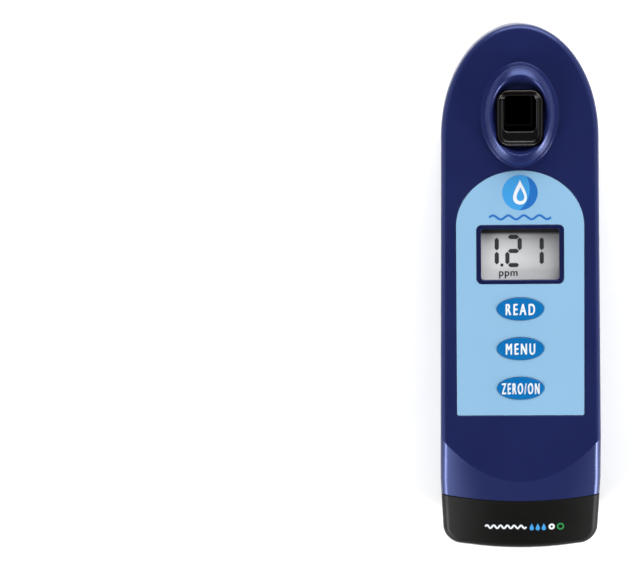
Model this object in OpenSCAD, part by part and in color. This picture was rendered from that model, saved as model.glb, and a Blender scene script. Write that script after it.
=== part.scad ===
// Handheld digital water tester: a sealed two-part case with a keypad, a display, a built-in
// sample cell between a light source and a detector, and a screwed-on cap that carries the cells.
// It lies on its back. +Z comes out of the front face, +Y points to the head end, z = 0 is the back.
// Sizes are in millimetres.

/* [Case] */
// width across the lower sides
body_w = 50.5; // [46:0.1:56]
// length from the cap end to the head end
body_len = 166; // [156:0.5:180]
// height of the flat front above the back
front_z = 33.5; // [33:0.1:35]
// width at the start of the arched head
head_w = 48.8; // [44:0.1:56]
// length of the arched head
arch_h = 34.9; // [28:0.1:40]
// radius of the cap's corners
corner_r = 6; // [4:0.5:8]
// bulge of the cap end
end_bulge = 1; // [0:0.1:2]
// wall thickness of the shells
wall = 2.5; // [2:0.1:2.6]
// height of the joint between the shells
parting_z = 21; // [18:0.5:22]
// rounding along the back edge
back_r = 9; // [6:0.5:10]
// rounding along the front edge
front_r = 2; // [1:0.1:2.4]

/* [Lower front] */
// place where the sloping lower front starts, on the centre line
crease_y = -60.3; // [-62:0.1:-58]
// drop of the lower front for each millimetre of length
barrel_slope = 0.30; // [0.2:0.01:0.32]
// radius of the lower front across the case
barrel_r = 80; // [70:1:100]
// place of the seam between case and cap
seam_y = -66.8; // [-68:0.1:-66]
// radius of the curved joint between case and cap
seam_r = 190; // [150:5:400]

/* [Keypad and display] */
// width of the keypad overlay
overlay_w = 39.8; // [36:0.1:42]
// top of the overlay's arch
overlay_top = 37.8; // [34:0.1:38.5]
// lower edge of the overlay
overlay_low = -39.1; // [-42:0.1:-38]
// length of the overlay's arch
overlay_arch = 17.5; // [10:0.1:20]
// distance between the keys
key_pitch = 12.5; // [11:0.1:13]
// place of the uppermost key
key_top_y = -5.5; // [-6:0.1:-5]
// width of a key
key_w = 14.7; // [12:0.1:16]
// height of a key
key_h = 7; // [6:0.1:8]
// place of the display's centre
lcd_y = 11.6; // [10:0.1:12]
// width of the display opening
lcd_w = 24.3; // [20:0.1:26]
// height of the display opening
lcd_h = 16; // [12:0.1:17]

/* [Sample cell] */
// place of the collar's centre
collar_y = 55; // [54:0.1:56]
// height of the collar's crest above the back
crest_z = 38; // [36.5:0.1:39]
// width of the cell's rim
rim_w = 14.8; // [13:0.1:16]
// length of the cell's rim
rim_l = 17.5; // [16:0.1:19]
// place of the rim's centre
rim_y = 54.1; // [53:0.1:55]
// width of the cell's well
well_w = 9.9; // [9:0.1:10.5]
// length of the cell's well
well_l = 10.9; // [10:0.1:12]
// place of the well's centre
well_y = 55.4; // [55:0.1:56]

/* [Battery bay] */
// outer half width of the bay
bay_x = 15.2; // [15:0.1:15.4]
// lower face of the bay
bay_z0 = 2.9; // [2.8:0.1:3]
// upper face of the bay
bay_z1 = 27.1; // [26.8:0.1:27.2]
// diameter of a cell
cell_d = 10.3; // [10:0.1:10.5]
// distance of the cap's screws from the centre
cap_screw_x = 18.9; // [18.5:0.1:19]
// height of the cap's screws above the back
cap_screw_z = 15; // [13:0.5:17]

/* [Hidden] */
$fn = 48;
head_y = body_len / 2 - arch_h;
low_y = -body_len / 2 + end_bulge;
head_half = head_w / 2;
low_half = body_w / 2;
inner_z = front_z - wall;
recess_z = front_z - 1.4;
board_z = 26;
board_t = 1.6;
board_low = -12.5;
board_high = 35.6;
bay_end = -16.8;
cell_len = 44.5;
cell_low = -66.4;
cell_x = 5.75;
cell_dz = 5.45;
cell_mid = (bay_z0 + bay_z1) / 2;
key_y = [key_top_y, key_top_y - key_pitch, key_top_y - 2 * key_pitch];
case_screws = [[19.3, -55.5], [-19.3, -55.5], [19.3, -17], [-19.3, -17],
               [18.6, 40], [-18.6, 40], [0, 75.6]];
board_screw_at = [[18, -9], [-18, -9], [18, 32.2], [-18, 32.2]];
light_z = 20;

// ---------- shared shapes ----------

// the case's outline, moved inwards by d
function outline(d) = let (r = max(corner_r - d, 1.4), cx = low_half - 0.7 - d - r,
                           cy = low_y + d + r) concat(
    [for (i = [0:24]) [(head_half - d) * cos(7.5 * i), head_y + (arch_h - d) * sin(7.5 * i)]],
    [[-(low_half - d), -60]],
    [for (t = [180:15:270]) [-cx + r * cos(t), cy + r * sin(t)]],
    [for (x = [-9, 0, 9]) [x, -body_len / 2 + d + end_bulge * pow(x / 18, 2)]],
    [for (t = [270:15:360]) [cx + r * cos(t), cy + r * sin(t)]],
    [[low_half - d, -60]]);

// a closed skin through equal rings of points
module skin(rings) {
    n = len(rings[0]);
    m = len(rings);
    polyhedron(points = [for (r = rings) each r], faces = concat(
        [[for (i = [0:n - 1]) i]],
        [for (k = [0:m - 2]) for (i = [0:n - 1]) let (a = k * n + i, b = k * n + (i + 1) % n)
            each [[a, a + n, b + n], [a, b + n, b]]],
        [[for (i = [n - 1:-1:0]) (m - 1) * n + i]]));
}

// the case's form through a list of [height, inset]
module form(steps) {
    skin([for (s = steps) [for (p = outline(s[1])) [p[0], p[1], s[0]]]]);
}

function back_steps(r, d) = [for (t = [90:-15:0]) [d + r * (1 - sin(t)), d + r * (1 - cos(t))]];
function front_steps(z, r) = [for (t = [0:22.5:90]) [z - r + r * sin(t), r * (1 - cos(t))]];

// everything below the sloping lower front, less a depth
module under_front(depth) {
    translate([0, crease_y, front_z]) rotate([atan(barrel_slope), 0, 0])
        translate([0, 0, -barrel_r]) rotate([90, 0, 0])
            cylinder(r = barrel_r - depth, h = 420, center = true, $fn = 180);
}

// everything on the case's side of the curved joint with the cap, less a gap
module case_side(gap) {
    translate([0, seam_y + seam_r, -30]) cylinder(r = seam_r - gap, h = 120, $fn = 720);
}

// a block between two corners
module block(a, b) {
    translate(a) cube([b[0] - a[0], b[1] - a[1], b[2] - a[2]]);
}

// a rounded rectangle standing on the XY plane, from z0 to z1
module rounded(w, l, r, z0, z1) {
    translate([0, 0, z0]) linear_extrude(z1 - z0) {
        square([w - 2 * r, l], center = true);
        square([w, l - 2 * r], center = true);
        for (x = [-1, 1]) for (y = [-1, 1]) translate([x * (w / 2 - r), y * (l / 2 - r)])
            circle(r = r);
    }
}

// the same along Y, from y0 to y1, between heights z0 and z1
module rounded_y(w, z0, z1, r, y0, y1) {
    translate([0, 0, (z0 + z1) / 2]) rotate([90, 0, 0]) rounded(w, z1 - z0, r, -y1, -y0);
}

function oval(a, b, n = 56) = [for (i = [0:n - 1]) [a * cos(360 * i / n), b * sin(360 * i / n)]];

// an upright oval prism
module oval_prism(a, b, z0, z1) {
    translate([0, 0, z0]) linear_extrude(z1 - z0) polygon(oval(a, b));
}

// an oval form through a list of [height, half width, half length]
module oval_form(steps) {
    skin([for (s = steps) [for (p = oval(s[1], s[2], 44)) [p[0], p[1], s[0]]]]);
}

// the overlay's outline, made larger by g
module overlay_shape(g) {
    a = overlay_w / 2 + g;
    y0 = overlay_top - overlay_arch;
    polygon(concat([[-a, overlay_low - g], [a, overlay_low - g]],
        [for (i = [0:32]) [a * cos(5.625 * i), y0 + (overlay_arch + g) * sin(5.625 * i)]]));
}

module screw_y(head_r, head_l, shank_r, y_head, y_tip) {
    rotate([90, 0, 0]) {
        translate([0, 0, -y_head]) cylinder(r = head_r, h = head_l);
        translate([0, 0, -y_tip]) cylinder(r = shank_r, h = y_tip - y_head);
    }
}

// ---------- case ----------

module front_housing() {
    color([0.10, 0.12, 0.29]) difference() {
        union() {
            intersection() {
                form(concat([[parting_z, 0]], front_steps(front_z, front_r)));
                under_front(0);
                case_side(0);
            }
            translate([0, collar_y, 0]) oval_form([
                [front_z - 0.6, 12.3, 16.6], [front_z + 0.1, 11.9, 16.2],
                [front_z + 0.7, 11.1, 15.4], [front_z + 1.8, 10.4, 14.7],
                [crest_z - 1.0, 9.8, 14.1], [crest_z - 0.25, 9.3, 13.6],
                [crest_z, 8.9, 13.1]]);
        }
        difference() {
            intersection() {
                translate([0, 0, parting_z - 1]) linear_extrude(inner_z - parting_z + 1)
                    polygon(outline(wall));
                under_front(wall);
            }
            for (p = case_screws) translate([p[0], p[1], 0]) cylinder(r = 2.9, h = 50);
            for (p = board_screw_at) translate([p[0], p[1], board_z + board_t])
                cylinder(r = 2.4, h = 20);
        }
        for (p = case_screws) translate([p[0], p[1], parting_z - 1]) cylinder(r = 1.4, h = 9.2);
        for (p = board_screw_at) translate([p[0], p[1], board_z]) cylinder(r = 1.05, h = 5);
        translate([0, 0, recess_z]) linear_extrude(10) overlay_shape(0.15);
        translate([0, lcd_y, 0]) rounded(lcd_w + 1.9, lcd_h + 1.6, 1, inner_z - 1, 40);
        block([-6, key_y[0] - 8.9, inner_z - 1], [6, key_y[0] - 7.7, 40]);
        translate([0, collar_y, 0]) oval_form([
            [crest_z - 2.7, 7.75, 10.6], [crest_z - 2.3, 8.0, 11.3],
            [crest_z - 0.8, 8.3, 12.3], [crest_z - 0.2, 8.6, 12.8], [crest_z + 1, 9.6, 13.9]]);
        translate([0, rim_y, 0]) rounded(rim_w + 0.3, rim_l + 0.3, 3.15, inner_z - 1, 60);
        translate([0, rim_y, 0]) rounded(19.6, 22.3, 5.2, inner_z - 1, inner_z + 2.6);
    }
}

module rear_housing() {
    color([0.10, 0.12, 0.29]) difference() {
        union() {
            difference() {
                intersection() {
                    form(concat(back_steps(back_r, 0), [[parting_z, 0]]));
                    case_side(0);
                }
                form(concat(back_steps(back_r - wall, wall), [[parting_z + 1, wall]]));
            }
            intersection() {
                form(concat(back_steps(back_r - 1, 1), [[parting_z, 1]]));
                for (p = case_screws) translate([p[0], p[1], -1]) cylinder(r = 3.8, h = 50);
            }
            for (x = [-11, 11]) for (y = [48, 63]) translate([x, y, 1.2])
                cylinder(r = 2.5, h = 7.8);
        }
        for (p = case_screws) translate([p[0], p[1], 0]) {
            translate([0, 0, -1]) cylinder(r = 2.75, h = 6.5);
            cylinder(r = 1.5, h = 30);
        }
        translate([0, 12, 0]) rounded(30.4, 40.4, 2.2, -1, 0.3);
        translate([0, 0, parting_z - 0.8]) linear_extrude(2) difference() {
            polygon(outline(0.8));
            polygon(outline(1.7));
        }
    }
}

module housing_gasket() {
    color([0.12, 0.12, 0.13]) intersection() {
        translate([0, 0, parting_z - 0.75]) linear_extrude(0.75) difference() {
            polygon(outline(0.95));
            polygon(outline(1.55));
        }
        case_side(0.4);
    }
}

module housing_screws() {
    color([0.62, 0.63, 0.65]) for (p = case_screws) translate([p[0], p[1], 0]) difference() {
        union() {
            translate([0, 0, 3.5]) cylinder(r = 2.5, h = 2);
            translate([0, 0, 5]) cylinder(r = 1.35, h = 23);
        }
        for (a = [0, 90]) rotate([0, 0, a]) block([-1.3, -0.3, 3], [1.3, 0.3, 4.6]);
    }
}

module rear_label() {
    color([0.75, 0.76, 0.78]) translate([0, 12, 0]) rounded(30, 40, 2, 0.04, 0.29);
}

// ---------- keypad ----------

module keypad_overlay() {
    color([0.46, 0.68, 0.90]) translate([0, 0, front_z - 0.5]) difference() {
        linear_extrude(0.4) overlay_shape(0);
        for (y = key_y) translate([0, y, 0])
            oval_prism(key_w / 2 + 0.08, key_h / 2 + 0.08, -1, 2);
        translate([0, lcd_y, 0]) rounded(lcd_w + 3.0, lcd_h + 2.6, 1.7, -1, 2);
    }
}

module keypad_spacer() {
    color([0.85, 0.85, 0.82]) translate([0, 0, front_z - 1.15]) difference() {
        linear_extrude(0.65) overlay_shape(-0.2);
        for (y = key_y) translate([0, y, 0])
            oval_prism(key_w / 2 + 1.0, key_h / 2 + 1.0, -1, 2);
        translate([0, lcd_y, 0]) rounded(lcd_w + 3.0, lcd_h + 2.6, 1.7, -1, 2);
    }
}

module keypad_circuit() {
    tail_y = key_y[0] - 8.3;
    color([0.80, 0.62, 0.28]) {
        difference() {
            translate([0, 0, recess_z]) linear_extrude(0.25) overlay_shape(-0.2);
            translate([0, lcd_y, 0]) rounded(lcd_w + 3.0, lcd_h + 2.6, 1.7, 30, 36);
        }
        block([-5, tail_y - 0.1, board_z + 2.4], [5, tail_y + 0.1, recess_z + 0.1]);
        block([-5, tail_y - 0.1, board_z + 2.4], [5, board_low + 0.2, board_z + 2.6]);
    }
}

// a snap dome over a switch, thin metal
module dome(y) {
    color([0.80, 0.80, 0.82]) translate([0, y, recess_z + 0.25]) rotate_extrude()
        polygon([[0, 0.32], [1.6, 0.28], [2.6, 0.16], [3.1, 0], [3.25, 0], [3.25, 0.1],
                 [2.7, 0.28], [1.6, 0.4], [0, 0.44]]);
}
module read_dome() { dome(key_y[0]); }
module menu_dome() { dome(key_y[1]); }
module zero_dome() { dome(key_y[2]); }

// a key: a flange that stays under the overlay, and the visible oval
module key(y) {
    color([0.08, 0.42, 0.72]) translate([0, y, 0]) {
        oval_prism(key_w / 2 + 0.7, key_h / 2 + 0.7, front_z - 0.70, front_z - 0.52);
        oval_prism(key_w / 2, key_h / 2, front_z - 0.6, front_z + 0.3);
    }
}
module read_key() { key(key_y[0]); }
module menu_key() { key(key_y[1]); }
module zero_key() { key(key_y[2]); }

// ---------- display ----------

module display_bezel() {
    color([0.10, 0.12, 0.29]) translate([0, lcd_y, 0]) difference() {
        rounded(lcd_w + 2.8, lcd_h + 2.4, 1.6, recess_z, front_z - 0.05);
        rounded(lcd_w, lcd_h, 0.8, recess_z - 1, front_z + 1);
    }
}

module display_window() {
    color([0.75, 0.80, 0.82, 0.4]) translate([0, lcd_y, 0])
        rounded(lcd_w + 1.6, lcd_h + 1.3, 0.9, inner_z + 0.05, recess_z - 0.02);
}

module lcd_panel() {
    color([0.66, 0.69, 0.64]) {
        block([-15, lcd_y - 8.5, board_z + 2.7], [15, lcd_y + 8.5, board_z + 3.85]);
        block([-15, lcd_y - 10.5, board_z + 3.8], [15, lcd_y + 10.5, board_z + 4.9]);
    }
}

module lcd_holder() {
    color([0.15, 0.15, 0.16]) difference() {
        block([-17, lcd_y - 12.5, board_z + board_t], [17, lcd_y + 12.5, inner_z]);
        block([-15.15, lcd_y - 10.65, board_z], [15.15, lcd_y + 10.65, 40]);
    }
}

module lcd_connectors() {
    color([0.55, 0.30, 0.35]) for (s = [-1, 1]) translate([0, lcd_y + s * 9.7, 0])
        block([-14, -0.75, board_z + board_t], [14, 0.75, board_z + 3.8]);
}

// ---------- main board ----------

module main_board() {
    color([0.05, 0.32, 0.16]) difference() {
        block([-20.4, board_low, board_z], [20.4, board_high, board_z + board_t]);
        for (p = board_screw_at) translate([p[0], p[1], 20]) cylinder(r = 1.2, h = 20);
    }
}

module board_screws() {
    color([0.62, 0.63, 0.65]) for (p = board_screw_at) translate([p[0], p[1], 0])
        difference() {
            union() {
                translate([0, 0, board_z - 1.3]) cylinder(r = 2, h = 1.3);
                translate([0, 0, board_z - 0.2]) cylinder(r = 1, h = 4.8);
            }
            for (a = [0, 90]) rotate([0, 0, a]) block([-1.1, -0.2, 24], [1.1, 0.2, 25.3]);
        }
}

// a flat chip on the board's lower face, its legs on two opposite sides
module chip(x, y, w, l, t, pins) {
    translate([x, y, board_z - t]) {
        block([-w / 2, -l / 2, 0], [w / 2, l / 2, t - 0.1]);
        for (i = [0:pins - 1]) translate([0, (i - (pins - 1) / 2) * l / pins, 0])
            block([-w / 2 - 0.9, -0.15, t - 0.3], [w / 2 + 0.9, 0.15, t]);
    }
}

module microcontroller() {
    color([0.09, 0.09, 0.10]) chip(0, 14, 10, 10, 1.5, 12);
}

module board_components() {
    color([0.10, 0.10, 0.11]) {
        chip(-13, 22, 5, 4.4, 1.4, 4);
        chip(13, 22, 5, 4.4, 1.4, 4);
        chip(-13, 4, 4, 5, 1.4, 4);
        for (x = [-15, -12, -9, 9, 12, 15]) block([x - 0.8, 10, board_z - 0.7],
            [x + 0.8, 10.9, board_z]);
        for (x = [-4, 0, 4]) block([x - 0.6, 26, board_z - 0.8], [x + 0.6, 28, board_z]);
        translate([13, 4, board_z - 5.4]) cylinder(r = 2.5, h = 5.4);
        translate([-14, -4, board_z - 6.4]) cylinder(r = 3.1, h = 6.4);
        block([-7.5, 32.4, board_z - 2.0], [7.5, 35.2, board_z]);
        block([-6.5, board_low + 0.2, board_z + board_t], [6.5, board_low + 3.4, board_z + 3.6]);
    }
}

// the plug that reaches from the bay's end wall to the main board
module battery_connector() {
    color([0.85, 0.83, 0.76]) {
        block([-5.5, bay_end + 1.2, board_z - 6.5], [5.5, -10.6, board_z - 0.02]);
        for (x = [-3, 3]) translate([x, 0, board_z - 4]) rotate([90, 0, 0])
            translate([0, 0, -bay_end - 1.3]) cylinder(r = 0.6, h = 1.8);
    }
}

// ---------- battery bay ----------

module battery_bay() {
    color([0.13, 0.13, 0.14]) difference() {
        union() {
            intersection() {
                form(concat(back_steps(back_r - wall, wall + 0.2), [[inner_z - 0.2, wall + 0.2]]));
                under_front(wall + 0.2);
                case_side(0);
                block([-40, seam_y - 1, 0], [40, seam_y + 3.4, 60]);
            }
            rounded_y(2 * bay_x, bay_z0, bay_z1, 2, seam_y - 3.2, bay_end + 1.2);
            for (s = [-1, 1]) translate([s * cap_screw_x, seam_y + 2.5, cap_screw_z])
                rotate([-90, 0, 0]) cylinder(r = 3.5, h = 4.3);
        }
        rounded_y(2 * bay_x - 2.4, bay_z0 + 1.2, bay_z1 - 1.2, 1, seam_y - 9, bay_end);
        for (s = [-1, 1]) translate([s * cap_screw_x, seam_y - 1, cap_screw_z])
            rotate([-90, 0, 0]) cylinder(r = 2.45, h = 6.9);
        for (x = [-3, 3]) translate([x, bay_end - 1, board_z - 4]) rotate([-90, 0, 0])
            cylinder(r = 0.9, h = 4);
    }
}

module cap_inserts() {
    color([0.80, 0.62, 0.28]) for (s = [-1, 1])
        translate([s * cap_screw_x, seam_y + 1.6, cap_screw_z]) rotate([-90, 0, 0])
            difference() {
                cylinder(r = 2.42, h = 4.2);
                translate([0, 0, -1]) cylinder(r = 1.56, h = 9);
            }
}

// ---------- sample cell and optics ----------

module sample_cell() {
    color([0.05, 0.05, 0.06]) difference() {
        union() {
            translate([0, rim_y, 0]) rounded(rim_w, rim_l, 3, inner_z - 0.6, crest_z - 0.8);
            translate([0, rim_y, 0]) rounded(19, 21.7, 5, inner_z - 0.6, inner_z + 1.5);
            translate([0, well_y, 0])
                rounded(well_w + 3.2, well_l + 3.2, 2.6, 8, inner_z - 0.4);
        }
        translate([0, rim_y, 0]) rounded(rim_w - 2.6, rim_l - 2.8, 2, crest_z - 3.2, 60);
        translate([0, well_y, 0]) rounded(well_w, well_l, 1.5, 10, 60);
    }
}

module cell_seal() {
    color([0.10, 0.10, 0.10]) translate([0, rim_y, 0]) difference() {
        rounded(19, 21.7, 5, inner_z + 1.5, inner_z + 2.6);
        rounded(rim_w + 0.6, rim_l + 0.6, 3.3, 0, 60);
    }
}

module optics_block() {
    color([0.07, 0.07, 0.08]) difference() {
        block([-16.2, 44.5, 9], [16.2, 66.3, inner_z - 0.8]);
        translate([0, well_y, 0]) rounded(well_w + 3.8, well_l + 3.8, 2.9, 0, 60);
        for (y = [-3.5, 0, 3.5]) translate([-20, well_y + y, light_z]) rotate([0, 90, 0])
            cylinder(r = 1.6, h = 20);
        translate([0, well_y, light_z]) rotate([0, 90, 0]) cylinder(r = 3.1, h = 20);
    }
}

module led_board() {
    color([0.05, 0.32, 0.16])
        block([-17.9, 44.25, 11], [-16.35, 64, inner_z - 3]);
}

module led_lamps() {
    color([0.80, 0.82, 0.85]) for (y = [-3.5, 0, 3.5])
        translate([-16.35, well_y + y, light_z]) rotate([0, 90, 0]) rotate_extrude()
            polygon(concat([[0, 0], [1.5, 0], [1.5, 3.6]],
                [for (t = [15:15:75]) [1.5 * cos(t), 3.6 + 1.5 * sin(t)]], [[0, 5.1]]));
}

module optical_filter() {
    color([0.10, 0.45, 0.35]) translate([8.6, well_y, light_z]) rotate([0, 90, 0])
        cylinder(r = 3.0, h = 2);
}

module photodiode() {
    color([0.72, 0.70, 0.62]) translate([11, well_y, light_z]) rotate([0, 90, 0]) {
        cylinder(r = 2.4, h = 4.4);
        translate([0, 0, 4.2]) cylinder(r = 2.8, h = 1.15);
    }
}

module sensor_board() {
    color([0.05, 0.32, 0.16])
        block([16.35, 44.25, 11], [17.9, 64, inner_z - 3]);
}

// the flat cable from the main board to the two optics boards
module sensor_ribbon() {
    color([0.80, 0.62, 0.28]) {
        block([-17.6, 44.0, 14], [17.6, 44.2, 20]);
        block([-6, 44.0, 19], [6, 44.2, 25]);
        block([-6, 35.2, 24.8], [6, 44.2, 25]);
    }
}

// ---------- cap and batteries ----------

module battery_cap() {
    color([0.07, 0.07, 0.07]) difference() {
        intersection() {
            form(concat(back_steps(back_r, 0), front_steps(front_z, front_r)));
            under_front(0);
            block([-40, -90, -1], [40, seam_y + 5, 60]);
        }
        case_side(-0.1);
        rounded_y(2 * bay_x + 0.6, bay_z0 - 0.3, bay_z1 + 0.3, 2.3, seam_y - 3.5, seam_y + 1);
        rounded_y(2 * bay_x + 1.9, bay_z0 - 0.95, bay_z1 + 0.95, 2.9, seam_y - 1.7, seam_y + 1);
        rounded_y(28.8, bay_z0 + 1.2, 24.6, 2, seam_y - 7.5, seam_y + 1);
        for (s = [-1, 1]) translate([s * cap_screw_x, 0, cap_screw_z]) rotate([90, 0, 0]) {
            cylinder(r = 1.56, h = 100);
            translate([0, 0, 78]) cylinder(r = 2.75, h = 20);
        }
    }
}

module cap_seal() {
    color([0.55, 0.10, 0.10]) difference() {
        rounded_y(2 * bay_x + 1.8, bay_z0 - 0.9, bay_z1 + 0.9, 2.8, seam_y - 1.6, seam_y - 0.4);
        rounded_y(2 * bay_x + 0.1, bay_z0 - 0.05, bay_z1 + 0.05, 2.05, seam_y - 9, seam_y + 9);
    }
}

module battery_tray() {
    color([0.14, 0.14, 0.15]) {
        rounded_y(28.4, bay_z0 + 1.4, 24.4, 1.8, seam_y - 7.4, seam_y - 3.3);
        block([-13.4, seam_y - 3.4, bay_z0 + 1.7], [13.4, cell_low - 2.5, 25.3]);
        block([-13.4, bay_end - 2.6, bay_z0 + 1.7], [13.4, bay_end - 0.8, 25.3]);
        block([-0.32, seam_y - 3, bay_z0 + 1.8], [0.32, bay_end - 1, 25.2]);
        for (x = [-12.7, 12.7]) block([x - 0.7, seam_y - 3, bay_z0 + 1.9],
            [x + 0.7, bay_end - 1, 25.1]);
    }
}

// a conical coil spring, its rings joined by short wires
module coil(x, z, y0, s) {
    translate([x, y0, z]) rotate([s > 0 ? -90 : 90, 0, 0]) {
        for (k = [0:2]) translate([0, 0, 0.35 + 0.85 * k]) rotate_extrude()
            translate([3.3 - 0.5 * k, 0]) circle(r = 0.32, $fn = 16);
        for (k = [0:1]) rotate([0, 0, 120 * k]) translate([3.05 - 0.5 * k, 0, 0.35 + 0.85 * k])
            cylinder(r = 0.3, h = 0.85, $fn = 16);
    }
}

module battery_springs() {
    color([0.75, 0.75, 0.77]) {
        coil(-cell_x, cell_mid + cell_dz, cell_low - 2.42, 1);
        coil(cell_x, cell_mid - cell_dz, cell_low - 2.42, 1);
        coil(-cell_x, cell_mid - cell_dz, bay_end - 2.68, -1);
        coil(cell_x, cell_mid + cell_dz, bay_end - 2.68, -1);
    }
}

// the plates that join the cells, and the two pads that meet the plug's pins
module battery_contacts() {
    color([0.78, 0.76, 0.68]) {
        for (s = [-1, 1]) {
            block([s * cell_x - 4, cell_low - 0.75, cell_mid + s * cell_dz - 4],
                  [s * cell_x + 4, cell_low - 0.45, cell_mid + s * cell_dz + 4]);
            block([s * cell_x - 4, cell_low + cell_len + 0.02, cell_mid - s * cell_dz - 4],
                  [s * cell_x + 4, cell_low + cell_len + 0.3, cell_mid - s * cell_dz + 4]);
        }
        for (x = [-3, 3]) block([x - 2, bay_end - 0.8, board_z - 6],
            [x + 2, bay_end - 0.55, board_z - 2]);
    }
}

// one cell: the can and its small raised end, which points up the case when up is 1
module battery(x, z, up) {
    color([0.72, 0.60, 0.30]) translate([x, up > 0 ? cell_low : cell_low + cell_len, z])
        rotate([up > 0 ? -90 : 90, 0, 0]) {
            cylinder(r = cell_d / 2, h = cell_len - 1);
            cylinder(r = 1.9, h = cell_len);
        }
}
module cell_1() { battery(-cell_x, cell_mid + cell_dz, 1); }
module cell_2() { battery(cell_x, cell_mid + cell_dz, -1); }
module cell_3() { battery(-cell_x, cell_mid - cell_dz, -1); }
module cell_4() { battery(cell_x, cell_mid - cell_dz, 1); }

module cap_screw(s) {
    color([0.62, 0.63, 0.65]) translate([s * cap_screw_x, 0, cap_screw_z]) difference() {
        screw_y(2.6, 2.4, 1.5, -78, seam_y + 5.2);
        block([-2, -81, -0.4], [2, -79.4, 0.4]);
    }
}
module cap_screw_left() { cap_screw(-1); }
module cap_screw_right() { cap_screw(1); }

front_housing();
rear_housing();
housing_gasket();
housing_screws();
rear_label();
keypad_overlay();
keypad_spacer();
keypad_circuit();
read_dome();
menu_dome();
zero_dome();
read_key();
menu_key();
zero_key();
display_bezel();
display_window();
lcd_panel();
lcd_holder();
lcd_connectors();
main_board();
board_screws();
microcontroller();
board_components();
battery_connector();
battery_bay();
cap_inserts();
sample_cell();
cell_seal();
optics_block();
led_board();
led_lamps();
optical_filter();
photodiode();
sensor_board();
sensor_ribbon();
battery_cap();
cap_seal();
battery_tray();
battery_springs();
battery_contacts();
cell_1();
cell_2();
cell_3();
cell_4();
cap_screw_left();
cap_screw_right();
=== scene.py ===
"""Looks for the handheld digital water tester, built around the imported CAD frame.

Lengths are in millimetres and are turned into metres by MM when a mesh is made, apart from those of
materials and lights, which are in metres. The tester lies on its back: +Z comes out of its front, and
+Y points to the head end.
"""

import math

import bmesh
import bpy
from mathutils import Matrix, Vector


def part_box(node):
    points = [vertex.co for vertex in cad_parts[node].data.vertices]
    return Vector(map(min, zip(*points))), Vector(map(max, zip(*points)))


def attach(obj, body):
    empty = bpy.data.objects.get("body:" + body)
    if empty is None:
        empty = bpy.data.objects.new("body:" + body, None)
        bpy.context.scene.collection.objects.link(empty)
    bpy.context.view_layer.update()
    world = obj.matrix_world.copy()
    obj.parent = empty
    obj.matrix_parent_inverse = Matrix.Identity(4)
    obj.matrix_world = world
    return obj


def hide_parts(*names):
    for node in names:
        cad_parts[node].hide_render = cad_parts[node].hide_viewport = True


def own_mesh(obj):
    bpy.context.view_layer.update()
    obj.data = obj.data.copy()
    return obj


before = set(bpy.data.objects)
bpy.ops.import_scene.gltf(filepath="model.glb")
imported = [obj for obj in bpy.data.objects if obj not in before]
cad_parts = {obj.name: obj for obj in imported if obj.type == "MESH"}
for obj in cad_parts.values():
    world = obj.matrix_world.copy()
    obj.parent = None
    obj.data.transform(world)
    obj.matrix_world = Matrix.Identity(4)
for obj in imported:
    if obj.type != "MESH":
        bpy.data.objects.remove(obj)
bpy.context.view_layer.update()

MM = 0.001


def node_box(name):
    """A CAD node's lowest and highest corners, in millimetres."""
    low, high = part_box(name)
    return low / MM, high / MM


def middle_y(name):
    """The middle of a CAD node along Y."""
    low, high = node_box(name)
    return (low.y + high.y) / 2


# ---------- sizes read from the frame ----------

CASE_LOW, CASE_HIGH = node_box("front_housing")
CAP_LOW = node_box("battery_cap")[0]
OVERLAY_LOW, OVERLAY_HIGH = node_box("keypad_overlay")
BEZEL_LOW, BEZEL_HIGH = node_box("display_bezel")
CELL_LOW, CELL_HIGH = node_box("sample_cell")

LENGTH = CASE_HIGH.y - CAP_LOW.y
LOW_HALF = CASE_HIGH.x  # half width across the lower sides
HEAD_HALF = LOW_HALF - 0.85  # half width where the arch starts
WIDEST_Y = -60.0  # where the outline is widest
ARCH = 0.2102 * LENGTH  # length of the arched head
ARCH_Y = CASE_HIGH.y - ARCH
FRONT_Z = OVERLAY_HIGH.z + 0.1  # the flat front
PARTING_Z = node_box("rear_housing")[1].z
SEAM_Y = CASE_LOW.y  # the joint between case and cap, on the centre line
WALL = 2.5
FRONT_ROUND = 2.0  # radius of the front's edge
BACK_ROUND = 9.0  # radius of the back's edge
CORNER = 6.0  # radius of the two corners at the cap end
END_BULGE = 1.0  # how far the cap's end bows out
SEAM_EDGE = 0.2  # rounding of the edges at the joints
SEAM_GAP = 0.1  # space between the case and the cap
SEAM_R = 190.0  # radius of the curved joint between case and cap
CREASE_Y = SEAM_Y + 6.5  # start of the sloping lower front, on the centre line
SLOPE = math.atan(0.30)
BARREL_R = 80.0  # radius of the sloping front, across the case
RECESS_Z = BEZEL_LOW.z  # floor of the keypad's recess
DISPLAY_Y = middle_y("display_bezel")
COLLAR_Y = 55.0  # middle of the raised oval round the cell
RIM_Y = 54.1
RIM = (14.3, 17.5)  # the cell's black rim, width and length
WELL_Y = 55.4
WELL = (9.9, 10.9)  # the cell's well, width and length
WELL_FLOOR = 10.0
FLANGE = (19.0, 21.7)  # the cell's flange under the case, width and length
FLANGE_SPAN = (30.4, 32.5)  # heights of the flange's two faces
DISPLAY = (24.3, 16.0)  # the display's opening, width and length
KEY_HALF = (7.35, 3.5)  # half axes of the oval keys
CAP_SCREW = (18.9, 15.0)  # distance from the middle, height
SCREW_BORE_R = 2.75  # pockets for the heads of the case's and the cap's screws
# bores in the cap: half width, half height, height of the middle, corner radius, depth
CAP_BORES = [(15.5, 12.4, 15.0, 2.3, 3.5), (16.15, 13.05, 15.0, 2.9, 1.7),
             (14.4, 10.25, 14.35, 2.0, 7.5)]
CASE_SCREWS = [(19.3, -55.5), (-19.3, -55.5), (19.3, -17), (-19.3, -17), (18.6, 40), (-18.6, 40),
               (0, 75.6)]
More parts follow.
